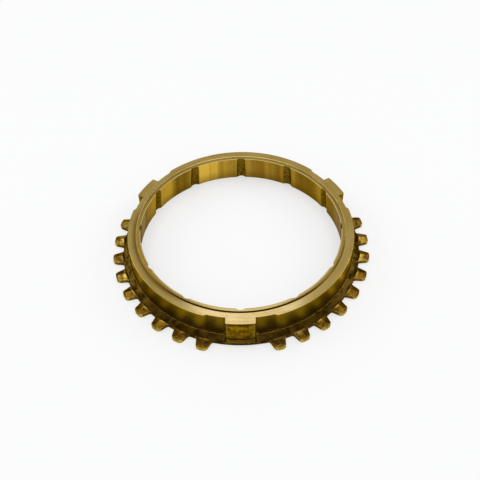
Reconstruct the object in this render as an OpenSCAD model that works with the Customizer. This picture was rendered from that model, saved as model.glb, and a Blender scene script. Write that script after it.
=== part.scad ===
// Synchronizer ring of a gearbox, forged and turned from one piece of brass.
// It stands on its toothed face, with the origin on the axis in that face.
// +Z points to the lugged face and one lug points along -Y.

/* [Ring] */
// Width of the ring at the lugged face, from the cone to the turned outer wall
ring_w = 4; // [3.2:0.1:6]
// Height from the toothed face to the lugged face
ring_h = 9.2; // [7:0.1:12]
// Width of the small chamfer on the turned edges
edge = 0.2; // [0.1:0.05:0.3]

/* [Friction cone] */
// Radius of the cone at the lugged face, its small end
cone_r = 31; // [25:0.1:40]
// Angle between the cone's wall and the ring's axis
cone_angle = 6.5; // [4:0.5:8]
// Width of the chamfer at the cone's large end
cone_edge = 0.3; // [0.1:0.05:0.6]
// Number of oil grooves along the cone
oil_groove_count = 12; // [6:1:18]
// Width of an oil groove at the cone's small end
oil_groove_w = 2.6; // [1.6:0.1:4]
// Depth of an oil groove at the cone's small end
oil_groove_d = 0.5; // [0.3:0.05:0.8]
// How much deeper an oil groove is at the cone's large end
oil_groove_fall = 0.35; // [0:0.05:0.6]

/* [Lugged face] */
// Width of the lip between the cone and the face groove
lip_w = 1; // [0.9:0.05:1.4]
// Width of the face groove's floor
face_groove_w = 0.15; // [0.1:0.05:0.6]
// Depth of the face groove
face_groove_d = 0.4; // [0.2:0.05:0.9]
// Width of the slope from the face groove up to the lugged face
face_slope_w = 0.45; // [0.1:0.05:0.8]

/* [Lugs] */
// Number of lugs
lug_count = 3; // [2:1:4]
// Width of a lug
lug_w = 8.5; // [5:0.5:11]
// How far a lug stands out from the outer wall
lug_out = 1.4; // [0.8:0.1:2]
// Depth of the relief in the outer wall on both sides of a lug
relief_d = 0.6; // [0.3:0.1:0.9]
// Angle from the middle of a lug to the end of its relief
relief_angle = 17.5; // [12:0.5:24]
// Height of the ledge at a lug's foot
foot_h = 1.35; // [1.2:0.05:1.6]
// How far the ledge falls towards the rim
foot_fall = 0.35; // [0.3:0.05:0.6]
// How far the ledge spreads past a lug's sides at the rim
foot_flare = 0.7; // [0.2:0.1:1.5]

/* [Flange] */
// Height of the turned shoulder at the wall's foot
shoulder_h = 2.4; // [1.9:0.1:3.5]
// How far the shoulder stands out from the wall
shoulder_out = 0.5; // [0.2:0.1:0.9]
// How far the rim stands out from the wall
rim_out = 2.4; // [2.1:0.1:3.5]
// Height of the rim
rim_h = 1.1; // [0.7:0.1:1.5]

/* [Teeth] */
// Number of teeth between two lugs
sector_teeth = 9; // [5:1:9]
// Number of tooth places left out at each lug
teeth_left_out = 2; // [2:1:4]
// How far the teeth stand out from the rim
tooth_out = 3.1; // [2:0.1:4]
// Width of a tooth at the rim
tooth_root_w = 4.6; // [3.8:0.1:5]
// Width of a tooth at its tip
tooth_tip_w = 3; // [2:0.1:3.6]
// Radius of the corners of a tooth's tip, seen along the axis
tooth_corner_r = 1.1; // [0.2:0.1:1.2]
// Height of a tooth's flanks, where its roof begins
tooth_flank_h = 1.5; // [1:0.1:1.8]
// Height of the ridge of a tooth's roof
tooth_ridge_h = 2.3; // [1.9:0.1:2.8]
// Angle at which the ridge falls towards the tip
tooth_fall = 4; // [0:0.5:8]
// Height of the upright face at a tooth's tip
tooth_tip_h = 1.2; // [0.8:0.1:1.6]
// Width of the bevel above a tooth's tip face
tooth_tip_bevel = 1.1; // [0.4:0.1:1.4]
// How far the bevel at a tooth's inner end reaches to both sides of the rim
tooth_heel = 0.5; // [0.2:0.05:0.55]

/* [Hidden] */
$fn = 180;

// How far a piece of the outline runs into its neighbour, so that they join
sink = 0.5;

wall_r = cone_r + ring_w;
lip_r = cone_r + lip_w;
groove_floor_r = lip_r + face_groove_w;
face_r = groove_floor_r + face_slope_w;
face_groove_z = ring_h - face_groove_d;

relief_r = wall_r - relief_d;
lug_r = wall_r + lug_out;
shoulder_r = wall_r + shoulder_out;
rim_r = wall_r + rim_out;
tip_r = rim_r + tooth_out;
inner_r = relief_r - sink;

sector = 360 / lug_count;
tooth_pitch = sector / (sector_teeth + teeth_left_out);
first_tooth = tooth_pitch * (teeth_left_out + 1) / 2;

// An oil groove is the mark of a round cutter of this radius
oil_cutter_r = (pow(oil_groove_w / 2, 2) + pow(oil_groove_d, 2)) / (2 * oil_groove_d);
// Angle between an oil groove's floor and the axis, and the floor's radius at the toothed face
oil_groove_angle = atan(tan(cone_angle) + oil_groove_fall / ring_h);
oil_floor_r = cone_at(0) + oil_groove_d + oil_groove_fall;

// Radius of the friction cone at a height above the toothed face
function cone_at(z) = cone_r + (ring_h - z) * tan(cone_angle);

// Height of the ledge at a lug's foot at a radius
function foot_at(r) = foot_h - foot_fall * (r - lug_r) / (rim_r - lug_r);

// The turned ring with its flange, as one section spun round the axis
module turned_ring() {
    rotate_extrude()
        polygon([
            [cone_at(0) + cone_edge, 0],
            [rim_r - edge, 0],
            [rim_r, edge],
            [rim_r, rim_h],
            [shoulder_r, shoulder_h],
            [wall_r, shoulder_h],
            [wall_r, ring_h - edge],
            [wall_r - edge, ring_h],
            [face_r, ring_h],
            [groove_floor_r, face_groove_z],
            [lip_r, face_groove_z],
            [lip_r, ring_h],
            [cone_r + edge, ring_h],
            [cone_at(ring_h - edge), ring_h - edge],
            [cone_at(cone_edge), cone_edge]
        ]);
}

// The wall is set back on both sides of a lug, down to the shoulder
module relief() {
    cut_r = (wall_r + shoulder_r) / 2;
    reach = shoulder_r / cos(relief_angle);
    translate([0, 0, shoulder_h])
        linear_extrude(ring_h)
            difference() {
                intersection() {
                    circle(cut_r);
                    polygon([
                        [0, 0],
                        [reach * cos(relief_angle), -reach * sin(relief_angle)],
                        [reach * cos(relief_angle), reach * sin(relief_angle)]
                    ]);
                }
                circle(relief_r);
            }
}

// A lug has upright, parallel sides and a round outer face
module lug() {
    intersection() {
        translate([0, -lug_w / 2, 0])
            cube([lug_r + sink, lug_w, ring_h]);
        rotate_extrude()
            polygon([
                [inner_r, rim_h / 2],
                [lug_r, rim_h / 2],
                [lug_r, ring_h - edge],
                [lug_r - edge, ring_h],
                [inner_r, ring_h]
            ]);
    }
}

// The flange in front of a lug is cut down to a ledge, which spreads towards the rim
module foot_cut() {
    start_r = lug_r - sink;
    end_r = rim_r + sink;
    intersection() {
        linear_extrude(ring_h)
            polygon([
                [start_r, foot_flare - lug_w / 2],
                [rim_r, -foot_flare - lug_w / 2],
                [end_r, -foot_flare - lug_w / 2],
                [end_r, foot_flare + lug_w / 2],
                [rim_r, foot_flare + lug_w / 2],
                [start_r, lug_w / 2 - foot_flare]
            ]);
        rotate_extrude()
            polygon([
                [start_r, foot_at(start_r)],
                [end_r, foot_at(end_r)],
                [end_r, ring_h],
                [start_r, ring_h]
            ]);
    }
}

// A tooth seen along the axis: it narrows to a tip with round corners
module tooth_outline() {
    taper = (tooth_root_w - tooth_tip_w) / 2 / tooth_out;
    slant = sqrt(1 + pow(taper, 2));
    corner_x = tip_r - tooth_corner_r;
    corner_y = tooth_tip_w / 2 + taper * tooth_corner_r - tooth_corner_r * slant;
    side_x = corner_x + tooth_corner_r * taper / slant;
    side_y = corner_y + tooth_corner_r / slant;
    polygon([
        [inner_r, -tooth_root_w / 2],
        [rim_r, -tooth_root_w / 2],
        [side_x, -side_y],
        [tip_r, -corner_y],
        [tip_r, corner_y],
        [side_x, side_y],
        [rim_r, tooth_root_w / 2],
        [inner_r, tooth_root_w / 2]
    ]);
    for (side = [-1, 1])
        translate([corner_x, side * corner_y])
            circle(tooth_corner_r);
}

// The roof of a tooth: two slopes that meet in a ridge, which falls towards the tip
module tooth_roof() {
    translate([inner_r, 0, 0])
        rotate([0, tooth_fall, 0])
            rotate([90, 0, 90])
                linear_extrude(tip_r)
                    polygon([
                        [-tooth_root_w / 2, -tooth_ridge_h],
                        [tooth_root_w / 2, -tooth_ridge_h],
                        [tooth_root_w / 2, tooth_flank_h],
                        [0, tooth_ridge_h],
                        [-tooth_root_w / 2, tooth_flank_h]
                    ]);
}

// The turned blank that all teeth are cut from, with bevels round the tips and the inner ends
module tooth_blank() {
    rotate_extrude()
        polygon([
            [inner_r, 0],
            [tip_r - edge, 0],
            [tip_r, edge],
            [tip_r, tooth_tip_h],
            [tip_r - tooth_tip_bevel, tooth_ridge_h],
            [rim_r + tooth_heel, tooth_ridge_h],
            [rim_r - tooth_heel, rim_h],
            [inner_r, rim_h]
        ]);
}

// One tooth, pointing along +X
module tooth() {
    intersection() {
        linear_extrude(tooth_ridge_h)
            tooth_outline();
        tooth_roof();
        tooth_blank();
    }
}

// A round-bottomed groove along the cone's wall, open at both ends and deeper at the large one
module oil_groove() {
    rotate([0, -oil_groove_angle, 0])
        translate([oil_floor_r * cos(oil_groove_angle) - oil_cutter_r, 0, -ring_h])
            cylinder(h = 4 * ring_h, r = oil_cutter_r);
}

module synchronizer_ring() {
    color([0.62, 0.47, 0.16])
        difference() {
            union() {
                difference() {
                    turned_ring();
                    for (i = [0 : lug_count - 1])
                        rotate(-90 + i * sector) {
                            relief();
                            foot_cut();
                        }
                }
                for (i = [0 : lug_count - 1])
                    rotate(-90 + i * sector) {
                        lug();
                        for (j = [0 : sector_teeth - 1])
                            rotate(first_tooth + j * tooth_pitch)
                                tooth();
                    }
            }
            for (i = [0 : oil_groove_count - 1])
                rotate(-90 + i * 360 / oil_groove_count)
                    oil_groove();
        }
}

synchronizer_ring();
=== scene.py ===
"""The looks of a brass synchronizer ring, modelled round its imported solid.

Lengths are in millimetres and angles in degrees while a mesh is made, and the finished mesh is scaled
to metres. The ring stands on its toothed face with its axis along Z, and one lug points along -Y.
"""

import logging
import math
import random
from dataclasses import dataclass, field, replace
from enum import Enum, IntEnum

import bmesh
import bpy
from bmesh.types import BMEdge, BMesh, BMVert
from bpy.types import Material, Node, NodeInputs, NodeOutputs, NodeSocket, NodeTree, Object
from mathutils import Matrix, Vector, noise


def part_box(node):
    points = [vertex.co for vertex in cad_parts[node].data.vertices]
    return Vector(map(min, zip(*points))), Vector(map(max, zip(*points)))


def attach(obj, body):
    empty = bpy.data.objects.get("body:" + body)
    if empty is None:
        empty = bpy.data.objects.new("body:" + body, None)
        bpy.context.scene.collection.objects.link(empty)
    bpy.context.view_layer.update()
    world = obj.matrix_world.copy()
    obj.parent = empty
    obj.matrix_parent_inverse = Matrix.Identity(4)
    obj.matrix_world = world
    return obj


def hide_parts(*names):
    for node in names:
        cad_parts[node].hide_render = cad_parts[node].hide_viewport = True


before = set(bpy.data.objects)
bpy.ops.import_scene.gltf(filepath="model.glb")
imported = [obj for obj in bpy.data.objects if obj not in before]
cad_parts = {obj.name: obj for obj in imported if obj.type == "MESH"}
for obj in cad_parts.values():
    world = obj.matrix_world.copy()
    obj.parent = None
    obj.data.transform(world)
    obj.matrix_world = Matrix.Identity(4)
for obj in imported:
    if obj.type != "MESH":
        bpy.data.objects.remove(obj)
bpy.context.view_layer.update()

LOG = logging.getLogger("synchronizer_ring")
NODE = "synchronizer_ring"
BODY = "root"
EDGE_LAYER = "edge"
MM = 0.001
FULL_TURN = 360.0
FRONT_TURN = -90.0
# Leaves the part of a point that lies across the axis
ACROSS = (1, 1, 0)
# How far a point may lie off a surface and still count as on it
MARGIN = 0.02
# Points that are nearer to each other than this are taken as one
SAME_PLACE = 1e-4
# A corner that is nearer to a cutting plane than this isn't cut
CUT_LIMIT = 1e-5
# Decimals that the corners of a sorted shape are rounded to
GRID_DIGITS = 3
# Power of a flat lamp for a unit of area and of radiance
LAMP_POWER = 4
# Places of the colour sockets of a Mix node, whose names it uses more than once
MIX_COLOURS = (6, 7)
MIX_RESULT = 2

Colour = tuple[float, float, float]
Limits = tuple[float, float]


class Zone(IntEnum):
    """The finishes of the ring, in the order of its material slots."""

    FACE = 0
    RECESS = 1
    WALL = 2
    LUG = 3
    CONE = 4
    GROOVE = 5
    SHOULDER = 6
    FLANGE = 7
    TOOTH = 8
    FLANK = 9
    UNDER = 10


class Join(Enum):
    """How a tool shape is joined to a base shape."""

    ADD = "UNION"
    CUT = "DIFFERENCE"


class Rounded(Enum):
    """What a rounding works on."""

    EDGES = "EDGES"
    CORNERS = "VERTICES"


class Effect(Enum):
    """The effects that more than one finish uses, with the names of their groups."""

    TURNING_MARKS = "turning_marks"
    FORGED_SKIN = "forged_skin"
    TARNISH = "tarnish"
    EDGE_WEAR_HIGHLIGHT_AND_SHADE = "edge_wear"
    ARC = "arc"
    UPRIGHT_STREAKS = "upright_streaks"


@dataclass(frozen=True)
class RingSizes:
    """Driving sizes of the ring, with the ones that follow from them."""

    height: float
    cone_r: float = 31.0
    ring_w: float = 4.0
    cone_angle: float = 6.5
    lip_w: float = 1.0
    face_groove_w: float = 0.15
    face_groove_d: float = 0.4
    face_slope_w: float = 0.45
    lug_count: int = 3
    lug_w: float = 8.5
    lug_out: float = 1.4
    relief_d: float = 0.6
    relief_angle: float = 17.5
    foot_h: float = 1.35
    foot_fall: float = 0.35
    foot_flare: float = 0.7
    shoulder_h: float = 2.4
    shoulder_out: float = 0.5
    rim_out: float = 2.4
    rim_h: float = 1.1

    @property
    def wall_r(self) -> float:
        """Radius of the turned outer wall."""
        return self.cone_r + self.ring_w

    @property
    def lip_r(self) -> float:
        """Outer radius of the lip round the cone's small end."""
        return self.cone_r + self.lip_w

    @property
    def groove_floor_r(self) -> float:
        """Outer radius of the face groove's floor."""
        return self.lip_r + self.face_groove_w

    @property
    def face_r(self) -> float:
        """Radius where the slope out of the face groove meets the lugged face."""
        return self.groove_floor_r + self.face_slope_w

    @property
    def lug_r(self) -> float:
        """Radius of a lug's outer face."""
        return self.wall_r + self.lug_out

    @property
    def relief_r(self) -> float:
        """Radius of the wall beside a lug."""
        return self.wall_r - self.relief_d

    @property
    def shoulder_r(self) -> float:
        """Radius of the shoulder at the wall's foot."""
        return self.wall_r + self.shoulder_out

    @property
    def rim_r(self) -> float:
        """Radius of the flange's rim."""
        return self.wall_r + self.rim_out

    @property
    def lug_pitch(self) -> float:
        """Angle from one lug to the next."""
        return FULL_TURN / self.lug_count

    def cone_at(self, height: float) -> float:
        """Radius of the friction cone at a height above the toothed face."""
        return self.cone_r + (self.height - height) * math.tan(math.radians(self.cone_angle))

    def flange_at(self, radius: float) -> float:
        """Height of the forged slope of the flange at a radius."""
        share = (radius - self.shoulder_r) / (self.rim_r - self.shoulder_r)
        return self.shoulder_h + (self.rim_h - self.shoulder_h) * share

    def foot_at(self, radius: float) -> float:
        """Height of the ledge in front of a lug at a radius."""
        return self.foot_h - self.foot_fall * (radius - self.lug_r) / (self.rim_r - self.lug_r)

    def lug_offset(self, point: Vector) -> float:
        """Signed angle from the nearest lug's middle to a point."""
        turn = math.degrees(math.atan2(point.y, point.x)) - FRONT_TURN
        return (turn + self.lug_pitch / 2) % self.lug_pitch - self.lug_pitch / 2

    def lug_turns(self) -> list[float]:
        """Angles of the middles of the lugs."""
        return [FRONT_TURN + i * self.lug_pitch for i in range(self.lug_count)]


def turned(turn: float) -> Matrix:
    """A rotation about the ring's axis by an angle in degrees."""
    return Matrix.Rotation(math.radians(turn), 4, "Z")


def new_object(name: str, shape: BMesh) -> Object:
    """Makes an object of a shape and frees the shape.

    Args:
        name: Name of the object and its mesh.
        shape: The shape, in any unit.

    Returns:
        The object, linked to the scene.
    """
    mesh = bpy.data.meshes.new(name)
    shape.to_mesh(mesh)
    shape.free()
    made = bpy.data.objects.new(name, mesh)
    bpy.context.scene.collection.objects.link(made)
    return made


def bake_modifiers(piece: Object) -> None:
    """Replaces a piece's mesh with the result of its modifiers.

    Args:
        piece: The piece, which has no modifiers afterwards.
    """
    graph = bpy.context.evaluated_depsgraph_get()
    baked = bpy.data.meshes.new_from_object(piece.evaluated_get(graph))
    piece.modifiers.clear()
    before = piece.data
    piece.data = baked
    bpy.data.meshes.remove(before)


def join(base: Object, tool: Object, how: Join) -> None:
    """Adds a tool shape to a base shape, or cuts it away, and removes the tool.

    Args:
        base: The object that is changed.
        tool: The object that is used up.
        how: Whether the tool is added or cut away.
    """
    modifier = base.modifiers.new(how.name, "BOOLEAN")
    modifier.operation = how.value
    modifier.solver = "MANIFOLD"
    modifier.object = tool
    bake_modifiers(base)
    bpy.data.objects.remove(tool, do_unlink=True)


def close_cut(shape: BMesh, point: Vector, normal: Vector) -> None:
    """Cuts away what lies in front of a plane and closes the cut.

    Args:
        shape: The closed shape that is cut.
        point: A point of the plane.
        normal: The direction of the part that is cut away.
    """
    bmesh.ops.bisect_plane(
        shape,
        geom=shape.verts[:] + shape.edges[:] + shape.faces[:],
        dist=CUT_LIMIT,
        plane_co=point,
        plane_no=normal.normalized(),
        clear_outer=True,
    )
    rims = [edge for edge in shape.edges if edge.is_boundary]
    bmesh.ops.holes_fill(shape, edges=rims, sides=0)


def in_fixed_order(shape: BMesh) -> BMesh:
    """Copies a shape with its corners and faces sorted, since some operators order them anew in each run.

    Args:
        shape: The shape, which is freed.

    Returns:
        The copy, with its corners rounded to a fine grid and its faces pointing outwards.
    """
    # Adding zero takes the sign off a zero
    places = {vert: tuple(round(part, GRID_DIGITS) + 0.0 for part in vert.co) for vert in shape.verts}
    loops = []
    for face in shape.faces:
        loop = [places[vert] for vert in face.verts]
        start = loop.index(min(loop))
        loops.append(loop[start:] + loop[:start])
    copy = bmesh.new()
    corners = {place: copy.verts.new(place) for place in sorted(set(places.values()))}
    for loop in sorted(loops):
        copy.faces.new([corners[place] for place in loop])
    bmesh.ops.recalc_face_normals(copy, faces=copy.faces)
    shape.free()
    return copy


def round_off(shape: BMesh, geometry: list, size: float, segments: int, what: Rounded) -> None:
    """Rounds edges or corners of a shape.

    Args:
        shape: The shape.
        geometry: The edges or the corners.
        size: How far the rounding reaches from the edge or corner.
        segments: Number of faces across the rounding.
        what: Whether edges or corners are rounded.
    """
    bmesh.ops.bevel(
        shape,
        geom=geometry,
        offset=size,
        offset_type="OFFSET",
        segments=segments,
        profile=0.5,
        affect=what.value,
        clamp_overlap=True,
        material=-1,
    )


@dataclass(frozen=True)
class Corner:
    """One corner of the ring's section, with the size of its rounding."""

    radius: float
    height: float
    rounding: float


@dataclass(frozen=True)
class Roundings:
    """How far the roundings of the section reach from its corners."""

    cone_large: float = 0.3
    cone_small: float = 0.1
    rim_low: float = 0.25
    rim: float = 0.3
    shoulder: float = 0.12
    foot: float = 0.15
    wall: float = 0.14
    groove_edge: float = 0.08
    groove_floor: float = 0.06


@dataclass
class Place:
    """A point near a lug, with its column and its angle counted from the lug's middle."""

    column: int
    radius: float
    height: float
    turn: float


@dataclass
class Lugs:
    """The lugs with their ledges and reliefs, pressed out of the columns of a spun body."""

    sizes: RingSizes
    soft: Roundings
    step: float
    # Size of the rounding of a lug's upright corners
    corner: float = 0.16
    # Angles that the end of a relief and the side of a ledge take
    relief_end: float = 1.5
    ledge_side: float = 0.2

    @property
    def lug_turn(self) -> float:
        """Angle from a lug's middle to its side, at its outer face."""
        return self.half_turn(self.sizes.lug_w / 2, self.sizes.lug_r)

    @property
    def corner_column(self) -> int:
        """The column that becomes a lug's corner, counted from the lug's middle."""
        return math.floor(self.lug_turn / self.step - 0.5)

    @property
    def relief_column(self) -> int:
        """The last column of a relief."""
        return math.ceil(self.sizes.relief_angle / self.step - 0.5) - 1

    def half_turn(self, half_w: float, radius: float) -> float:
        """The angle that half a width takes at a radius."""
        return math.degrees(math.asin(half_w / radius))

    def on_wall(self, place: Place) -> bool:
        """Whether a point belongs to the outer wall.

        Args:
            place: The point on the spun body.

        Returns:
            True on the wall, its upper edge and its foot.
        """
        s = self.sizes
        inside = s.wall_r - self.soft.wall - MARGIN
        outside = s.wall_r + self.soft.foot + MARGIN
        return inside < place.radius < outside and place.height > s.shoulder_h - MARGIN

    def on_flange(self, place: Place) -> bool:
        """Whether a point belongs to the shoulder, the slope or the rim's upper edge."""
        low = self.sizes.rim_h - self.soft.rim - MARGIN
        return place.radius > self.sizes.wall_r and place.height > low

    def press(self, shape: BMesh) -> None:
        """Moves the columns near each lug to their places.

        Args:
            shape: The spun body, with one column every step and half a step beside each lug's middle.
        """
        for vert in shape.verts:
            offset = self.sizes.lug_offset(vert.co)
            column = round(abs(offset) / self.step - 0.5)
            if column > self.relief_column:
                continue
            place = Place(column, vert.co.xy.length, vert.co.z, abs(offset))
            if self.on_wall(place):
                self.press_wall(place)
            elif self.on_flange(place) and column <= self.corner_column + 1:
                self.press_ledge(place)
            else:
                continue
            middle = math.atan2(vert.co.y, vert.co.x) - math.radians(offset)
            angle = middle + math.radians(math.copysign(place.turn, offset))
            vert.co = (place.radius * math.cos(angle), place.radius * math.sin(angle), place.height)

    def press_wall(self, place: Place) -> None:
        """Moves a point of the wall onto a lug or into a relief.

        Args:
            place: The point, which is changed.
        """
        s = self.sizes
        if place.column > self.corner_column:
            if place.column == self.corner_column + 1:
                place.turn = self.half_turn(s.lug_w / 2, s.relief_r)
            elif place.column == self.relief_column:
                place.turn = s.relief_angle - self.relief_end
            place.radius -= s.relief_d
            return
        place.radius += s.lug_out
        if place.column == self.corner_column:
            place.radius -= self.corner
            place.turn = self.lug_turn
        elif place.column == self.corner_column - 1:
            place.turn = self.lug_turn - math.degrees(self.corner / s.lug_r)
        if place.height < s.shoulder_h + self.soft.foot + MARGIN:
            place.height += s.foot_h - s.shoulder_h

    def press_ledge(self, place: Place) -> None:
        """Moves a point of the flange onto the ledge in front of a lug.

        Args:
            place: The point, which is changed.
        """
        s = self.sizes
        start = s.wall_r + self.soft.foot
        end = s.rim_r - self.soft.rim
        if place.column <= self.corner_column:
            if place.radius < end:
                place.radius += s.lug_out * (end - place.radius) / (end - start)
            place.height = min(place.height, s.foot_at(place.radius))
        spread = min(max((place.radius - s.lug_r) / (s.rim_r - s.lug_r), 0.0), 1.0)
        side = self.half_turn(s.lug_w / 2 + s.foot_flare * spread, place.radius)
        if place.column == self.corner_column:
            place.turn = side
        elif place.column > self.corner_column:
            place.turn = side + self.ledge_side


@dataclass
class RingBody:
    """The turned ring with its flange and lugs, without teeth and oil grooves."""

    sizes: RingSizes
    soft: Roundings = Roundings()
    # Number of columns round the ring
    steps: int = 360
    corner_segments: int = 4
    thread_count: int = 20
    thread_d: float = 0.03
    # Rows of faces added on the flange's slope and on the wall
    slope_rows: int = 7
    wall_rows: int = 15
    # Depth and grain of the forged skin, and how far from its edges it fades
    forge_depth: float = 0.05
    forge_grain: float = 0.9
    forge_fade: float = 0.6
    # Faces that lean less than this point upwards
    upward_angle: float = 45.0

    def corners(self) -> list[Corner]:
        """Lists the corners of the section.

        Returns:
            The corners, from the cone's large end round the outside.
        """
        s = self.sizes
        soft = self.soft
        floor = s.height - s.face_groove_d
        return [
            Corner(s.cone_at(0), 0, soft.cone_large),
            Corner(s.rim_r, 0, soft.rim_low),
            Corner(s.rim_r, s.rim_h, soft.rim),
            Corner(s.shoulder_r, s.shoulder_h, soft.shoulder),
            Corner(s.wall_r, s.shoulder_h, soft.foot),
            Corner(s.wall_r, s.height, soft.wall),
            Corner(s.face_r, s.height, soft.groove_edge),
            Corner(s.groove_floor_r, floor, soft.groove_floor),
            Corner(s.lip_r, floor, soft.groove_floor),
            Corner(s.lip_r, s.height, soft.groove_edge),
            Corner(s.cone_r, s.height, soft.cone_small),
        ]

    def section(self) -> BMesh:
        """Draws the section as a closed line with rounded corners.

        Returns:
            The section in the XZ plane, with a fine thread on the cone and rows on the flange and the wall.
        """
        s = self.sizes
        shape = bmesh.new()
        corners = self.corners()
        verts = [shape.verts.new((corner.radius, 0, corner.height)) for corner in corners]
        shape.faces.new(verts)
        for vert, corner in zip(verts, corners):
            round_off(shape, [vert], corner.rounding, self.corner_segments, Rounded.CORNERS)
        cone = self.nearest_edge(shape, s.cone_at(s.height / 2), s.height / 2)
        self.cut_thread(shape, cone)
        middle = (s.shoulder_r + s.rim_r) / 2
        slope = self.nearest_edge(shape, middle, s.flange_at(middle))
        bmesh.ops.subdivide_edges(shape, edges=[slope], cuts=self.slope_rows)
        wall = self.nearest_edge(shape, s.wall_r, (s.shoulder_h + s.height) / 2)
        bmesh.ops.subdivide_edges(shape, edges=[wall], cuts=self.wall_rows)
        bmesh.ops.delete(shape, geom=shape.faces[:], context="FACES_ONLY")
        return shape

    def nearest_edge(self, shape: BMesh, radius: float, height: float) -> BMEdge:
        """The section's edge whose middle is nearest to a point."""
        point = Vector((radius, 0, height))
        return min(shape.edges, key=lambda edge: ((edge.verts[0].co + edge.verts[1].co) / 2 - point).length)

    def cut_thread(self, shape: BMesh, cone: BMEdge) -> None:
        """Folds the cone's line into a fine thread.

        Args:
            shape: The section.
            cone: The straight edge along the cone.
        """
        bmesh.ops.subdivide_edges(shape, edges=[cone], cuts=2 * self.thread_count - 1)
        line = [vert for vert in shape.verts if abs(vert.co.x - self.sizes.cone_at(vert.co.z)) < SAME_PLACE]
        line.sort(key=lambda vert: vert.co.z)
        for root in line[1::2]:
            root.co.x += self.thread_d

    def build(self) -> BMesh:
        """Spins the section, sorts its faces into zones and presses the lugs out of it.

        Returns:
            The body in millimetres, with a zone as each face's material.
        """
        shape = self.section()
        step = FULL_TURN / self.steps
        bmesh.ops.rotate(shape, verts=shape.verts, matrix=turned(FRONT_TURN + step / 2).to_3x3())
        bmesh.ops.spin(
            shape,
            geom=shape.verts[:] + shape.edges[:],
            cent=(0, 0, 0),
            axis=(0, 0, 1),
            angle=math.tau,
            steps=self.steps,
            use_merge=True,
        )
        bmesh.ops.remove_doubles(shape, verts=shape.verts, dist=SAME_PLACE)
        bmesh.ops.recalc_face_normals(shape, faces=shape.faces)
        lugs = Lugs(self.sizes, self.soft, step)
        for face in shape.faces:
            centre = face.calc_center_median()
            on_lug = abs(self.sizes.lug_offset(centre)) < lugs.lug_turn
            face.material_index = self.zone(centre.xy.length, centre.z, face.normal.z, on_lug)
        lugs.press(shape)
        self.roughen(shape)
        shape.normal_update()
        return shape

    def zone(self, radius: float, height: float, rise: float, on_lug: bool) -> Zone:
        """The zone of a face of the spun body.

        Args:
            radius: The distance of its middle from the axis.
            height: The height of its middle.
            rise: The upward part of its normal.
            on_lug: Whether it becomes part of a lug.

        Returns:
            The zone.
        """
        s = self.sizes
        upward = rise > math.sin(math.radians(self.upward_angle))
        if height < MARGIN:
            return Zone.UNDER
        if radius < s.cone_at(height) + self.soft.cone_large:
            return Zone.CONE
        if radius < s.face_r and height < s.height - self.soft.groove_edge:
            return Zone.RECESS
        if radius < s.face_r or upward and height > s.height - self.soft.wall:
            return Zone.FACE
        if radius < s.wall_r + MARGIN:
            return Zone.LUG if on_lug else Zone.WALL
        on_ledge = on_lug and upward
        on_shoulder = radius < s.shoulder_r and not on_lug
        return Zone.SHOULDER if on_ledge or on_shoulder else Zone.FLANGE

    def roughen(self, shape: BMesh) -> None:
        """Gives the forged slope of the flange a slightly uneven skin, which fades at its edges.

        Args:
            shape: The pressed body, with its zones.
        """
        s = self.sizes
        verts = {vert for face in shape.faces if face.material_index == Zone.FLANGE for vert in face.verts}
        shape.normal_update()
        for vert in verts:
            inner = (vert.co.xy.length - s.shoulder_r) / self.forge_fade
            lower = (vert.co.z - self.soft.rim_low) / self.forge_fade
            share = min(max(min(inner, lower), 0.0), 1.0)
            lift = noise.noise(vert.co / self.forge_grain) * self.forge_depth
            vert.co += vert.normal * lift * share


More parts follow.
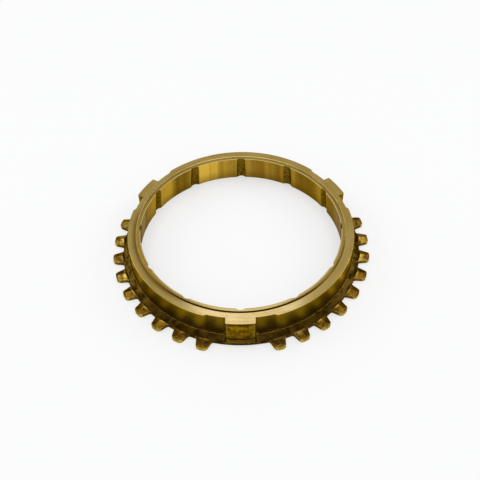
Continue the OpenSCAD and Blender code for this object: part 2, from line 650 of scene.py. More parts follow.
@dataclass
class Teeth:
    """The roofed teeth round the flange."""

    sizes: RingSizes
    per_sector: int = 9
    left_out: int = 2
    out: float = 3.1
    root_w: float = 4.6
    tip_w: float = 3.0
    corner_r: float = 1.1
    root_r: float = 0.45
    root_seat: float = 1.1
    flank_h: float = 1.5
    ridge_h: float = 2.3
    fall: float = 4.0
    tip_h: float = 1.2
    tip_bevel: float = 1.1
    heel: float = 0.5
    # How far inside the wall the ridge has its full height
    ridge_in: float = 1.1
    edge_r: float = 0.3
    root_segments: int = 4
    tip_segments: int = 5
    edge_segments: int = 3
    # Edges that bend less than this aren't rounded
    soft_angle: float = 10.0
    # An edge that rises by more than this share of its length is upright
    upright_share: float = 0.8
    # Faces that point upwards by more than this are part of the roof
    roof_rise: float = 0.5
    # Faces that are larger than this get a border, where their edges wear
    plain_area: float = 0.5
    wear_w: float = 0.12
    # How far inside the shoulder a tooth begins, and how far its foot is sunk into the rim
    start_in: float = 1.5
    sink: float = 0.15
    # By what share the teeth differ in width and height
    spread: float = 0.012
    seed: int = 7

    @property
    def tip_r(self) -> float:
        """Radius of the tips of the teeth."""
        return self.sizes.rim_r + self.out

    def outline(self) -> BMesh:
        """Draws a tooth as seen along the axis.

        Returns:
            One face with round tip corners and hollow root corners.
        """
        rim_r = self.sizes.rim_r
        shape = bmesh.new()
        start_x = self.sizes.shoulder_r - self.start_in
        root = self.root_w / 2
        seat = root + self.root_r * self.root_seat
        seat_x = math.sqrt(rim_r**2 - seat**2) - self.sink
        root_x = math.sqrt(rim_r**2 - root**2)
        half = [(start_x, seat), (seat_x, seat), (root_x, root), (self.tip_r, self.tip_w / 2)]
        points = [(x, -y) for x, y in half] + [(x, y) for x, y in reversed(half)]
        verts = [shape.verts.new((x, y, 0)) for x, y in points]
        shape.faces.new(verts)
        taper = math.atan2(root - self.tip_w / 2, self.out)
        reach = self.corner_r * math.tan((math.pi / 2 - taper) / 2)
        for vert in (verts[2], verts[5]):
            round_off(shape, [vert], self.root_r, self.root_segments, Rounded.CORNERS)
        for vert in (verts[3], verts[4]):
            round_off(shape, [vert], reach, self.tip_segments, Rounded.CORNERS)
        return shape

    def tooth(self) -> BMesh:
        """Models one tooth that points along +X.

        Returns:
            A closed shape with soft edges, whose faces carry their zones.
        """
        shape = self.outline()
        top = bmesh.ops.extrude_face_region(shape, geom=shape.faces[:])["geom"]
        raised = [item for item in top if isinstance(item, BMVert)]
        bmesh.ops.translate(shape, verts=raised, vec=(0, 0, self.ridge_h + self.edge_r))
        bmesh.ops.recalc_face_normals(shape, faces=shape.faces)
        lean = math.atan2(self.ridge_h - self.flank_h, self.root_w / 2)
        fall = math.tan(math.radians(self.fall))
        ridge = Vector((self.sizes.wall_r - self.ridge_in, 0, self.ridge_h))
        for side in (-1, 1):
            close_cut(shape, ridge, Vector((fall, side * math.tan(lean), 1)))
        tip = Vector((self.tip_r, 0, self.tip_h))
        close_cut(shape, tip, Vector((self.ridge_h - self.tip_h, 0, self.tip_bevel)))
        heel = Vector((self.sizes.rim_r + self.heel, 0, self.ridge_h))
        close_cut(shape, heel, Vector((self.sizes.rim_h - self.ridge_h, 0, 2 * self.heel)))
        shape = in_fixed_order(shape)
        soft = [edge for edge in shape.edges if self.is_soft(edge)]
        round_off(shape, soft, self.edge_r, self.edge_segments, Rounded.EDGES)
        shape = in_fixed_order(shape)
        plain = [face for face in shape.faces if face.calc_area() > self.plain_area]
        bmesh.ops.inset_individual(shape, faces=plain, thickness=self.wear_w, use_even_offset=True)
        shape = in_fixed_order(shape)
        for face in shape.faces:
            face.material_index = self.zone(face.calc_center_median().z, face.normal.z)
        return shape

    def zone(self, height: float, rise: float) -> Zone:
        """The zone of a face of a tooth.

        Args:
            height: The height of its middle.
            rise: The upward part of its normal.

        Returns:
            The zone.
        """
        if height < MARGIN:
            return Zone.UNDER
        return Zone.TOOTH if rise > self.roof_rise else Zone.FLANK

    def is_soft(self, edge: BMEdge) -> bool:
        """Whether an edge of a tooth is rounded.

        Args:
            edge: The edge.

        Returns:
            True for sharp edges, apart from upright ones and those inside the flange.
        """
        first, second = edge.verts
        along = second.co - first.co
        upright = abs(along.z) > self.upright_share * along.length
        inside = self.is_inside(first) and self.is_inside(second)
        return not upright and not inside and edge.calc_face_angle(0) > math.radians(self.soft_angle)

    def is_inside(self, vert: BMVert) -> bool:
        """Whether a corner of a tooth lies inside the flange."""
        radius = vert.co.xy.length
        return radius < self.sizes.rim_r and vert.co.z < self.sizes.flange_at(radius)

    def build(self) -> BMesh:
        """Sets a tooth at each place of the pattern, each a little different.

        Returns:
            All teeth in one shape.
        """
        draw = random.Random(self.seed)
        shape = bmesh.new()
        model = self.tooth()
        mesh = bpy.data.meshes.new("tooth")
        model.to_mesh(mesh)
        model.free()
        pitch = self.sizes.lug_pitch / (self.per_sector + self.left_out)
        first = pitch * (self.left_out + 1) / 2
        for lug_turn in self.sizes.lug_turns():
            for index in range(self.per_sector):
                shape.from_mesh(mesh)
                shape.verts.ensure_lookup_table()
                fresh = shape.verts[-len(mesh.vertices):]
                share = [1 + draw.uniform(-self.spread, self.spread) for _ in range(2)]
                bmesh.ops.scale(shape, verts=fresh, vec=(1, share[0], share[1]))
                turn = lug_turn + first + index * pitch
                bmesh.ops.transform(shape, verts=fresh, matrix=turned(turn))
        bpy.data.meshes.remove(mesh)
        return shape


@dataclass
class OilGrooves:
    """The round-bottomed grooves along the friction cone."""

    sizes: RingSizes
    count: int = 12
    width: float = 2.6
    depth: float = 0.5
    fall: float = 0.35
    # Length of a cutter in heights of the ring
    cutter_heights: float = 3.0
    segments: int = 96

    def build(self) -> BMesh:
        """Makes the round cutters that leave the grooves.

        Returns:
            All cutters in one shape, with the groove's zone on each face.
        """
        s = self.sizes
        cutter_r = ((self.width / 2) ** 2 + self.depth**2) / (2 * self.depth)
        lean = math.atan(math.tan(math.radians(s.cone_angle)) + self.fall / s.height)
        seat = (s.cone_at(0) + self.depth + self.fall) * math.cos(lean) - cutter_r
        tilted = Matrix.Rotation(-lean, 4, "Y") @ Matrix.Translation((seat, 0, s.height / 2))
        shape = bmesh.new()
        for index in range(self.count):
            turn = FRONT_TURN + index * FULL_TURN / self.count
            bmesh.ops.create_cone(
                shape,
                cap_ends=True,
                segments=self.segments,
                radius1=cutter_r,
                radius2=cutter_r,
                depth=self.cutter_heights * s.height,
                matrix=turned(turn) @ tilted,
            )
        for face in shape.faces:
            face.material_index = Zone.GROOVE
        return shape


class Graph:
    """A node tree with short calls that add nodes and join them."""

    def __init__(self, tree: NodeTree) -> None:
        """Takes the tree that the calls work on."""
        self.tree = tree

    def put(self, socket: NodeSocket, value: object) -> None:
        """Fills an input.

        Args:
            socket: The input.
            value: An output to join it to, a plain value, or None to leave it as it is.
        """
        if isinstance(value, NodeSocket):
            self.tree.links.new(value, socket)
        elif value is not None:
            socket.default_value = value

    def node(self, kind: str, inputs: dict[str | int, object], **settings: object) -> Node:
        """Adds a node.

        Args:
            kind: The node's type, without its leading ShaderNode.
            inputs: Values or sockets by input name or place.
            settings: Values of the node's own properties.

        Returns:
            The node.
        """
        made = self.tree.nodes.new("ShaderNode" + kind)
        for name, value in settings.items():
            setattr(made, name, value)
        for name, value in inputs.items():
            self.put(made.inputs[name], value)
        return made

    def math(self, operation: str, first: object, second: object, clamp: bool = False) -> NodeSocket:
        """Adds a Math node and returns its result."""
        return self.node("Math", {0: first, 1: second}, operation=operation, use_clamp=clamp).outputs[0]

    def times(self, first: object, second: object) -> NodeSocket:
        """The product of two values."""
        return self.math("MULTIPLY", first, second)

    def plus(self, first: object, second: object) -> NodeSocket:
        """The sum of two shares, held between 0 and 1."""
        return self.math("ADD", first, second, clamp=True)

    def rest(self, share: object) -> NodeSocket:
        """What a share leaves of the whole."""
        return self.math("SUBTRACT", 1.0, share)

    def vector(self, operation: str, first: object, second: object = None) -> NodeSocket:
        """Adds a Vector Math node with up to two vectors and returns its vector."""
        return self.node("VectorMath", {0: first, 1: second}, operation=operation).outputs["Vector"]

    def scaled(self, vector: object, scale: object) -> NodeSocket:
        """A vector times a value."""
        return self.node("VectorMath", {0: vector, "Scale": scale}, operation="SCALE").outputs["Vector"]

    def outward(self, point: object) -> NodeSocket:
        """The direction from the axis to a point."""
        return self.vector("NORMALIZE", self.vector("MULTIPLY", point, ACROSS))

    def radius(self, point: object) -> NodeSocket:
        """The distance of a point from the axis."""
        flat = self.vector("MULTIPLY", point, ACROSS)
        return self.node("VectorMath", {0: flat}, operation="LENGTH").outputs["Value"]

    def height(self, point: object) -> NodeSocket:
        """The height of a point."""
        return self.node("SeparateXYZ", {0: point}).outputs["Z"]

    def fade(
        self, value: object, low: object, high: object, start: float = 0.0, end: float = 1.0
    ) -> NodeSocket:
        """Adds a smooth step: from start to end while a value goes from low to high."""
        inputs = {"Value": value, "From Min": low, "From Max": high, "To Min": start, "To Max": end}
        return self.node("MapRange", inputs, interpolation_type="SMOOTHSTEP").outputs["Result"]

    def mix(self, share: object, first: object, second: object) -> NodeSocket:
        """Adds a mix of two colours.

        Args:
            share: How much of the second colour there is.
            first: The first colour, plain or as a socket.
            second: The second colour, plain or as a socket.

        Returns:
            The mixed colour.
        """
        made = self.node("Mix", {"Factor": share}, data_type="RGBA")
        for place, value in zip(MIX_COLOURS, (first, second)):
            self.put(made.inputs[place], (*value, 1.0) if isinstance(value, tuple) else value)
        return made.outputs[MIX_RESULT]

    def noise(self, point: object, scale: float, detail: float, height: object = None) -> NodeSocket:
        """Adds a noise texture.

        Args:
            point: The place in the noise.
            scale: How many grains there are to a unit of length.
            detail: How many finer grains are laid over them.
            height: A fourth coordinate, or None for noise in three dimensions.

        Returns:
            The noise as a value.
        """
        inputs = {"Vector": point, "Scale": scale, "Detail": detail}
        if height is None:
            return self.node("TexNoise", inputs).outputs[0]
        return self.node("TexNoise", {**inputs, "W": height}, noise_dimensions="4D").outputs[0]


@dataclass
class Effects:
    """The node groups that the finishes share."""

    band_share: float = 0.15
    pit_scale: float = 0.8
    pit_limits: Limits = (0.05, 0.45)
    pit_share: float = 0.35
    patch_scale: float = 0.16
    patch_limits: Limits = (0.38, 0.66)
    cloud_limits: Limits = (0.35, 0.68)
    smudge_scale: float = 7.0
    smudge_limits: Limits = (0.42, 0.7)
    # Breaks in the wear and painted highlight along edges, and the bends where the painted shade in corners
    # starts and is full
    wear_and_highlight_scale: float = 1.3
    wear_and_highlight_limits: Limits = (0.3, 0.62)
    painted_shade_limits: Limits = (-0.04, -0.25)
    streak_limits: Limits = (0.36, 0.64)
    groups: dict[Effect, NodeTree] = field(default_factory=dict)

    def start(
        self, effect: Effect, kinds: dict[str, str], results: list[str]
    ) -> tuple[Graph, NodeOutputs, NodeInputs]:
        """Begins a node group.

        Args:
            effect: The effect that the group makes.
            kinds: Socket kinds by input name, apart from the point that each group is given.
            results: Names of the outputs, which are all values.

        Returns:
            The graph, the sockets that it is given and the ones that take its results.
        """
        tree = bpy.data.node_groups.new(effect.value, "ShaderNodeTree")
        for label, kind in {"Point": "Vector", **kinds}.items():
            tree.interface.new_socket(name=label, in_out="INPUT", socket_type="NodeSocket" + kind)
        for label in results:
            tree.interface.new_socket(name=label, in_out="OUTPUT", socket_type="NodeSocketFloat")
        self.groups[effect] = tree
        given = tree.nodes.new("NodeGroupInput").outputs
        return Graph(tree), given, tree.nodes.new("NodeGroupOutput").inputs

    def build(self) -> None:
        """Makes all groups."""
        self.turning_marks()
        self.forged_skin()
        self.tarnish()
        self.edge_wear()
        self.arc()
        self.upright_streaks()

    def turning_marks(self) -> None:
        """Fine lines that the turning tool left round the axis."""
        kinds = {"Spacing": "Float", "Drift": "Float"}
        graph, given, result = self.start(Effect.TURNING_MARKS, kinds, ["Mark", "Band"])
        drift = graph.scaled(graph.outward(given["Point"]), given["Drift"])
        across = graph.math("DIVIDE", graph.radius(given["Point"]), given["Spacing"])
        along = graph.math("DIVIDE", graph.height(given["Point"]), given["Spacing"])
        for label, share in (("Mark", 1.0), ("Band", self.band_share)):
            lifted = graph.node("CombineXYZ", {"Z": graph.times(across, share)}).outputs[0]
            place = graph.vector("ADD", drift, lifted)
            lines = graph.noise(place, scale=1.0, detail=2.0, height=graph.times(along, share))
            graph.put(result[label], lines)

    def forged_skin(self) -> None:
        """The pitted, grainy skin of forged brass."""
        graph, given, result = self.start(Effect.FORGED_SKIN, {"Grain": "Float"}, ["Height", "Patch"])
        place = graph.vector("DIVIDE", given["Point"], given["Grain"])
        grain = graph.noise(place, scale=1.0, detail=5.0)
        cells = graph.node("TexVoronoi", {"Vector": place, "Scale": self.pit_scale}).outputs["Distance"]
        pits = graph.times(graph.fade(cells, *self.pit_limits), self.pit_share)
        graph.put(result["Height"], graph.math("ADD", grain, pits))
        patches = graph.noise(place, scale=self.patch_scale, detail=3.0)
        graph.put(result["Patch"], graph.fade(patches, *self.patch_limits))

    def tarnish(self) -> None:
        """Broad clouds of tarnish with fine smudges in them."""
        graph, given, result = self.start(Effect.TARNISH, {"Size": "Float"}, ["Cloud", "Smudge"])
        place = graph.vector("DIVIDE", given["Point"], given["Size"])
        clouds = graph.noise(place, scale=1.0, detail=4.0)
        graph.put(result["Cloud"], graph.fade(clouds, *self.cloud_limits))
        smudges = graph.noise(place, scale=self.smudge_scale, detail=6.0)
        graph.put(result["Smudge"], graph.fade(smudges, *self.smudge_limits))

    def edge_wear(self) -> None:
        """Broken wear and painted highlight along the edges that stand out, and painted shade in the
        corners that lie back.
        """
        kinds = {"Edge": "Float", "Start": "Float", "Full": "Float"}
        graph, given, result = self.start(Effect.EDGE_WEAR_HIGHLIGHT_AND_SHADE, kinds, ["Worn", "PaintedShade"])
        broken = graph.fade(graph.noise(given["Point"], self.wear_and_highlight_scale, detail=4.0), *self.wear_and_highlight_limits)
        sharp = graph.fade(given["Edge"], given["Start"], given["Full"])
        graph.put(result["Worn"], graph.times(broken, sharp))
        graph.put(result["PaintedShade"], graph.fade(given["Edge"], *self.painted_shade_limits))

    def arc(self) -> None:
        """A soft stretch round the ring, about one direction."""
        kinds = {"Towards": "Vector", "Inside": "Float", "Outside": "Float"}
        graph, given, result = self.start(Effect.ARC, kinds, ["Share"])
        both = {0: graph.outward(given["Point"]), 1: given["Towards"]}
        near = graph.node("VectorMath", both, operation="DOT_PRODUCT").outputs["Value"]
        graph.put(result["Share"], graph.fade(near, given["Outside"], given["Inside"]))

    def upright_streaks(self) -> None:
        """Bands that run straight up the ring's walls."""
        graph, given, result = self.start(Effect.UPRIGHT_STREAKS, {"Count": "Float"}, ["Streak"])
        place = graph.scaled(graph.outward(given["Point"]), given["Count"])
        bands = graph.noise(place, scale=1.0, detail=3.0)
        graph.put(result["Streak"], graph.fade(bands, *self.streak_limits))


class Surface(Graph):
    """The node tree of a finish, with the point on the ring and the shared effects at hand."""

    def __init__(self, tree: NodeTree, effects: Effects) -> None:
        """Adds the point in millimetres to the tree.

        Args:
            tree: The material's node tree.
            effects: The shared effects.
        """
        super().__init__(tree)
        self.groups = effects.groups
        self.point = self.scaled(self.node("TexCoord", {}).outputs["Object"], 1 / MM)

    def effect(self, kind: Effect, **inputs: object) -> NodeOutputs:
        """Adds a shared effect with values for its inputs, and returns its outputs."""
        return self.node("Group", {"Point": self.point, **inputs}, node_tree=self.groups[kind]).outputs


@dataclass(frozen=True)
class Arc:
    """A stretch of the ring's circumference with soft ends, in degrees."""

    middle: float
    half: float
    soft: float
    strength: float = 1.0

    def share(self, on: Surface) -> NodeSocket:
        """Adds a mask that is strong inside the stretch.

        Args:
            on: The nodes of the surface.

        Returns:
            The mask, as strong as the stretch.
        """
        middle = math.radians(self.middle)
        inside = math.cos(math.radians(self.half))
        outside = math.cos(math.radians(self.half + self.soft))
        towards = (math.cos(middle), math.sin(middle), 0.0)
        mask = on.effect(Effect.ARC, Towards=towards, Inside=inside, Outside=outside)
        return on.times(mask["Share"], self.strength)


@dataclass(frozen=True)
class Band:
    """A mask that goes from one strength at its low height to another at its high one."""

    low: float
    high: float
    start: float
    end: float

    def share(self, on: Surface) -> NodeSocket:
        """Adds the mask."""
        return on.fade(on.height(on.point), self.low, self.high, self.start, self.end)


@dataclass(frozen=True)
class Finish:
    """A brass finish: its colours, gloss, the grain of its surface, its painted shade in corners and on
    dark parts, and its edges with wear and painted highlight.
    """

    name: str
    clean: Colour
    dull: Colour
    wear_and_highlight: Colour
    # Roughness where the surface is clean and where it is dull
    gloss: float
    matt: float
    # Size of the clouds of tarnish, and how strong they and the smudges in them are
    cloud: float = 9.0
    cloud_share: float = 0.7
    smudge_share: float = 0.35
    # Depth of the fine relief
    depth: float = 0.003
    # How far an edge stands out where its wear and painted highlight start and where they are full
    wear_and_highlight_start: float = 0.08
    wear_and_highlight_full: float = 0.3
    # How much of the dull colour the painted shade in corners and on the dark parts has
    painted_shade_share: float = 0.45
    # Colour of reflections at a flat angle
    rim_tint: Colour = (0.7, 0.5, 0.12)
    # Parts painted darker in the tone of the painted shade: painted shade on the cone and in the oil
    # grooves, and a band darker towards the top on the lugs
    dark: tuple[Arc | Band, ...] = ()

    def build(self, effects: Effects) -> Material:
        """Makes the material.

        Args:
            effects: The shared node groups.

        Returns:
            The material.
        """
        material = bpy.data.materials.new(self.name)
        material.use_nodes = True
        on = Surface(material.node_tree, effects)
        edge = on.node("Attribute", {}, attribute_name=EDGE_LAYER).outputs["Fac"]
        # Painted highlight, with wear, on the edges that stand out, and painted shade in the corners that
        # lie back
        edges_and_corners = on.effect(Effect.EDGE_WEAR_HIGHLIGHT_AND_SHADE, Edge=edge, Start=self.wear_and_highlight_start, Full=self.wear_and_highlight_full)
        dulled = self.dulled(on)
        colour = on.mix(edges_and_corners["PaintedShade"], self.colour(on, dulled), self.painted_shade)
        rough = on.math("ADD", on.times(dulled, self.matt - self.gloss), self.gloss)
        bump = on.node("Bump", {"Height": self.relief(on), "Strength": 1.0, "Distance": self.depth * MM})
        inputs = {
            "Base Color": on.mix(edges_and_corners["Worn"], colour, self.wear_and_highlight),
            "Roughness": rough,
            "Metallic": self.metal(on, edges_and_corners["PaintedShade"]),
            "Normal": bump.outputs["Normal"],
            **self.constants(),
        }
        shader = next(item for item in on.tree.nodes if item.type == "BSDF_PRINCIPLED")
        for label, value in inputs.items():
            on.put(shader.inputs[label], value)
        return material

    @property
    def painted_shade(self) -> Colour:
        """The colour of the painted shade in corners and on the dark parts, a dark tone of the dull colour.
        """
        return tuple(self.painted_shade_share * part for part in self.dull)

    def constants(self) -> dict[str, object]:
        """What is the same all over the surface, by the shader's inputs."""
        return {"Specular Tint": (*self.rim_tint, 1.0)}

    def colour(self, on: Surface, dulled: NodeSocket) -> NodeSocket:
        """Adds the colour of the surface, from clean to dull, with its dark parts painted darker.

        Args:
            on: The nodes of the surface.
            dulled: The mask of how dull it is.

        Returns:
            The colour.
        """
        value = on.mix(dulled, self.clean, self.dull)
        for part in self.dark:
            value = on.mix(part.share(on), value, self.painted_shade)
        return value

    def metal(self, on: Surface, painted_shade: NodeSocket) -> NodeSocket | float:
        """How far the surface is bare metal, from a mask of the painted shade in its corners."""
        return 1.0

    def dulled(self, on: Surface) -> NodeSocket:
        """Adds a mask of how dull the surface is.

        Args:
            on: The nodes of the surface.

        Returns:
            The mask.
        """
        clouds = on.effect(Effect.TARNISH, Size=self.cloud)
        smudges = on.times(clouds["Smudge"], self.smudge_share)
        return on.times(on.math("ADD", clouds["Cloud"], smudges), self.cloud_share)

    def relief(self, on: Surface) -> NodeSocket:
        """The fine relief of the surface."""
        return on.noise(on.point, scale=2.0, detail=4.0)


@dataclass(frozen=True)
class Turned(Finish):
    """Brass with fine marks of the turning tool round the axis."""

    # Distance between two marks, and how much they change round the ring
    spacing: float = 0.12
    drift: float = 2.5
    # How far reflections are smeared, and in which direction, in turns
    smear: float = 0.5
    smear_turn: float = 0.25
    # How strong the bands of marks are, and the noise that they run between
    banding: float = 0.25
    band_limits: Limits = (0.3, 0.7)

    def constants(self) -> dict[str, object]:
        """What is the same all over the surface, with reflections smeared across the turning marks."""
        smear = {"Anisotropic": self.smear, "Anisotropic Rotation": self.smear_turn}
        return {**super().constants(), **smear}

    def marks(self, on: Surface) -> NodeOutputs:
        """The outputs of the group that draws the marks."""
        return on.effect(Effect.TURNING_MARKS, Spacing=self.spacing, Drift=self.drift)

    def dulled(self, on: Surface) -> NodeSocket:
        """A mask of how dull the surface is, with streaks along the marks."""
        streaks = on.fade(self.marks(on)["Band"], *self.band_limits, -self.banding, self.banding)
        return on.plus(super().dulled(on), streaks)

    def relief(self, on: Surface) -> NodeSocket:
        """The marks as relief."""
        return self.marks(on)["Mark"]


@dataclass(frozen=True)
class TurnedFace(Turned):
    """The lugged face, darker along its groove on one side."""

    sizes: RingSizes = field(kw_only=True)
    lip: Colour = (0.52, 0.385, 0.105)
    # A darker stretch along the groove on one side
    side_darkening: Colour = (0.16, 0.10, 0.011)
    side_darkening_arc: Arc = Arc(203.0, 20.0, 26.0)
    side_darkening_w: float = 2.2

    def colour(self, on: Surface, dulled: NodeSocket) -> NodeSocket:
        """Adds the colour of the face, with its duller lip and the darker stretch along the groove over it.

        Args:
            on: The nodes of the surface.
            dulled: The mask of how dull it is.

        Returns:
            The colour.
        """
        radius = on.radius(on.point)
        inner = self.sizes.groove_floor_r
        near = on.fade(radius, inner, inner + self.side_darkening_w, 1.0, 0.0)
        outside = on.fade(radius, self.sizes.lip_r, inner)
        share = on.times(on.times(near, outside), self.side_darkening_arc.share(on))
        darkened = on.mix(share, super().colour(on, dulled), self.side_darkening)
        return on.mix(outside, self.lip, darkened)


@dataclass(frozen=True)
class FaceGroove(Finish):
    """The face groove, which is clean but for some stretches with painted shade in it."""

    # Stretches of the groove with painted shade
    painted_shade_arcs: tuple[Arc, ...] = ()
    patchy: float = 0.25

    def dulled(self, on: Surface) -> NodeSocket:
        """Adds a mask of how dull the groove is, with the painted shade of its stretches.

        Args:
            on: The nodes of the surface.

        Returns:
            The mask.
        """
        value = on.times(super().dulled(on), self.patchy)
        for arc in self.painted_shade_arcs:
            value = on.plus(value, arc.share(on))
        return value


@dataclass(frozen=True)
class LugFace(Finish):
    """A lug's outer face, with upright streaks."""

    streaks: float = 60.0
    streak_range: Limits = (-0.12, 0.18)

    def dulled(self, on: Surface) -> NodeSocket:
        """A mask of how dull the lug is, with the streaks in it."""
        streak = on.effect(Effect.UPRIGHT_STREAKS, Count=self.streaks)["Streak"]
        return on.plus(super().dulled(on), on.fade(streak, 0.0, 1.0, *self.streak_range))


@dataclass(frozen=True)
class TurnedStretches(Turned):
    """Turned brass with painted light on some stretches round the ring, which are brighter than the rest.
    """

    least: float = 0.55
    # Stretches of painted light, where the surface takes its clean colour and gloss
    painted_light_arcs: tuple[Arc, ...] = ()

    def dulled(self, on: Surface) -> NodeSocket:
        """Adds a mask of how dull the surface is, which is weaker in the stretches of painted light.

        Args:
            on: The nodes of the surface.

        Returns:
            The mask.
        """
        value = on.fade(super().dulled(on), 0.0, 1.0, self.least, 1.0)
        for arc in self.painted_light_arcs:
            value = on.times(value, on.rest(arc.share(on)))
        return value


@dataclass(frozen=True)
class TurnedCone(TurnedStretches):
    """The friction cone, with upright streaks of painted reflection."""

    streaks: float = 9.0
    streak_share: float = 0.3

    def dulled(self, on: Surface) -> NodeSocket:
        """A mask of how dull the cone is, with the streaks of painted reflection taken out of it."""
        streak = on.effect(Effect.UPRIGHT_STREAKS, Count=self.streaks)["Streak"]
        return on.times(super().dulled(on), on.fade(streak, 0.0, 1.0, 1.0 - self.streak_share, 1.0))


@dataclass(frozen=True)
class Forged(Finish):
    """Brass with the dark, grainy skin that forging leaves, and painted shade in its corners, where it is
    also less metallic.
    """

    grain: float = 0.35
    pit_limits: Limits = (0.35, 0.85)
    pit_share: float = 0.5
    # How far the painted shade in the corners takes the metal away
    painted_shade_non_metal: float = 0.8

    def metal(self, on: Surface, painted_shade: NodeSocket) -> NodeSocket:
        """How far the surface is bare metal, which is less under the painted shade in the corners."""
        return on.rest(on.times(painted_shade, self.painted_shade_non_metal))

    def skin(self, on: Surface) -> NodeOutputs:
        """The outputs of the group that draws the skin."""
        return on.effect(Effect.FORGED_SKIN, Grain=self.grain)

    def dulled(self, on: Surface) -> NodeSocket:
        """A mask of how thick the skin is."""
        skin = self.skin(on)
        return on.plus(skin["Patch"], on.fade(skin["Height"], *self.pit_limits, self.pit_share, 0.0))

    def relief(self, on: Surface) -> NodeSocket:
        """The skin as relief."""
        return self.skin(on)["Height"]


@dataclass(frozen=True)
class ForgingWithPaintedLight(Forged):
    """Forged brass with painted light on some stretches round the ring, where it is lit more brightly."""

    painted_light_arcs: tuple[Arc, ...] = ()
    # Colour of the painted light, and how much of it is left where the skin is thickest
    painted_light: Colour = (0.24, 0.15, 0.025)
    least_painted_light: float = 0.1

    def colour(self, on: Surface, dulled: NodeSocket) -> NodeSocket:
        """Adds the colour of the forging, with the stretches of painted light over it.

        Args:
            on: The nodes of the surface.
            dulled: The mask of how thick the skin is.

        Returns:
            The colour.
        """
        value = super().colour(on, dulled)
        thin = on.fade(dulled, 0.0, 1.0, 1.0, self.least_painted_light)
        for arc in self.painted_light_arcs:
            value = on.mix(on.times(arc.share(on), thin), value, self.painted_light)
        return value


@dataclass(frozen=True)
class ForgedTeeth(ForgingWithPaintedLight):
    """The teeth: dark at their roots, browner towards their tips with painted shade, and with painted
    highlights on their heels and on the tips of the front teeth.
    """

    teeth: Teeth = field(kw_only=True)
    # Painted highlight on the tips of the teeth round the front
    tip_in: float = 0.6
    tip_highlight: float = 0.6
    tip_arc: Arc = Arc(270.0, 45.0, 25.0)
    # Painted shade towards the tips, over the roofs' own reddish brown
    outer: Colour = (0.11, 0.055, 0.006)
    outer_share: float = 0.7
    # Painted highlight on the heels, where the roofs meet the flange
    heel_in: float = 0.1
    heel_out: float = 0.9
    heel_h: float = 1.4
    heel_soft: float = 0.45
    heel_highlight: float = 0.4
    root_h: float = 0.9
    root: Colour = (0.06, 0.031, 0.004)

    def colour(self, on: Surface, dulled: NodeSocket) -> NodeSocket:
        """Adds the colour of the teeth, from their dark roots to the painted highlights on their heels and
        tips.

        Args:
            on: The nodes of the surface.
            dulled: The mask of how thick the skin is.

        Returns:
            The colour.
        """
        radius = on.radius(on.point)
        height = on.height(on.point)
        rim_r = self.teeth.sizes.rim_r
        tip_r = self.teeth.tip_r
        heel_r = rim_r + self.heel_out
        # Browner and darker towards the tips: the roofs' reddish brown with painted shade
        brown = on.fade(radius, heel_r, tip_r, 0.0, self.outer_share)
        value = on.mix(brown, super().colour(on, dulled), self.outer)
        inside = on.fade(radius, rim_r - self.heel_in, heel_r, 1.0, 0.0)
        below = on.fade(height, self.root_h, self.heel_h, 1.0, 0.0)
        value = on.mix(on.times(inside, below), value, self.root)
        # Painted highlights on the heels and on the tips of the front teeth
        near = on.fade(radius, rim_r + self.heel_in, heel_r, self.heel_highlight, 0.0)
        above = on.fade(height, self.heel_h, self.heel_h + self.heel_soft)
        tip = on.fade(radius, tip_r - self.tip_in, tip_r, 0.0, self.tip_highlight)
        tip = on.times(tip, self.tip_arc.share(on))
        painted_light = on.math("MAXIMUM", on.times(near, above), tip)
        return on.mix(painted_light, value, self.wear_and_highlight)


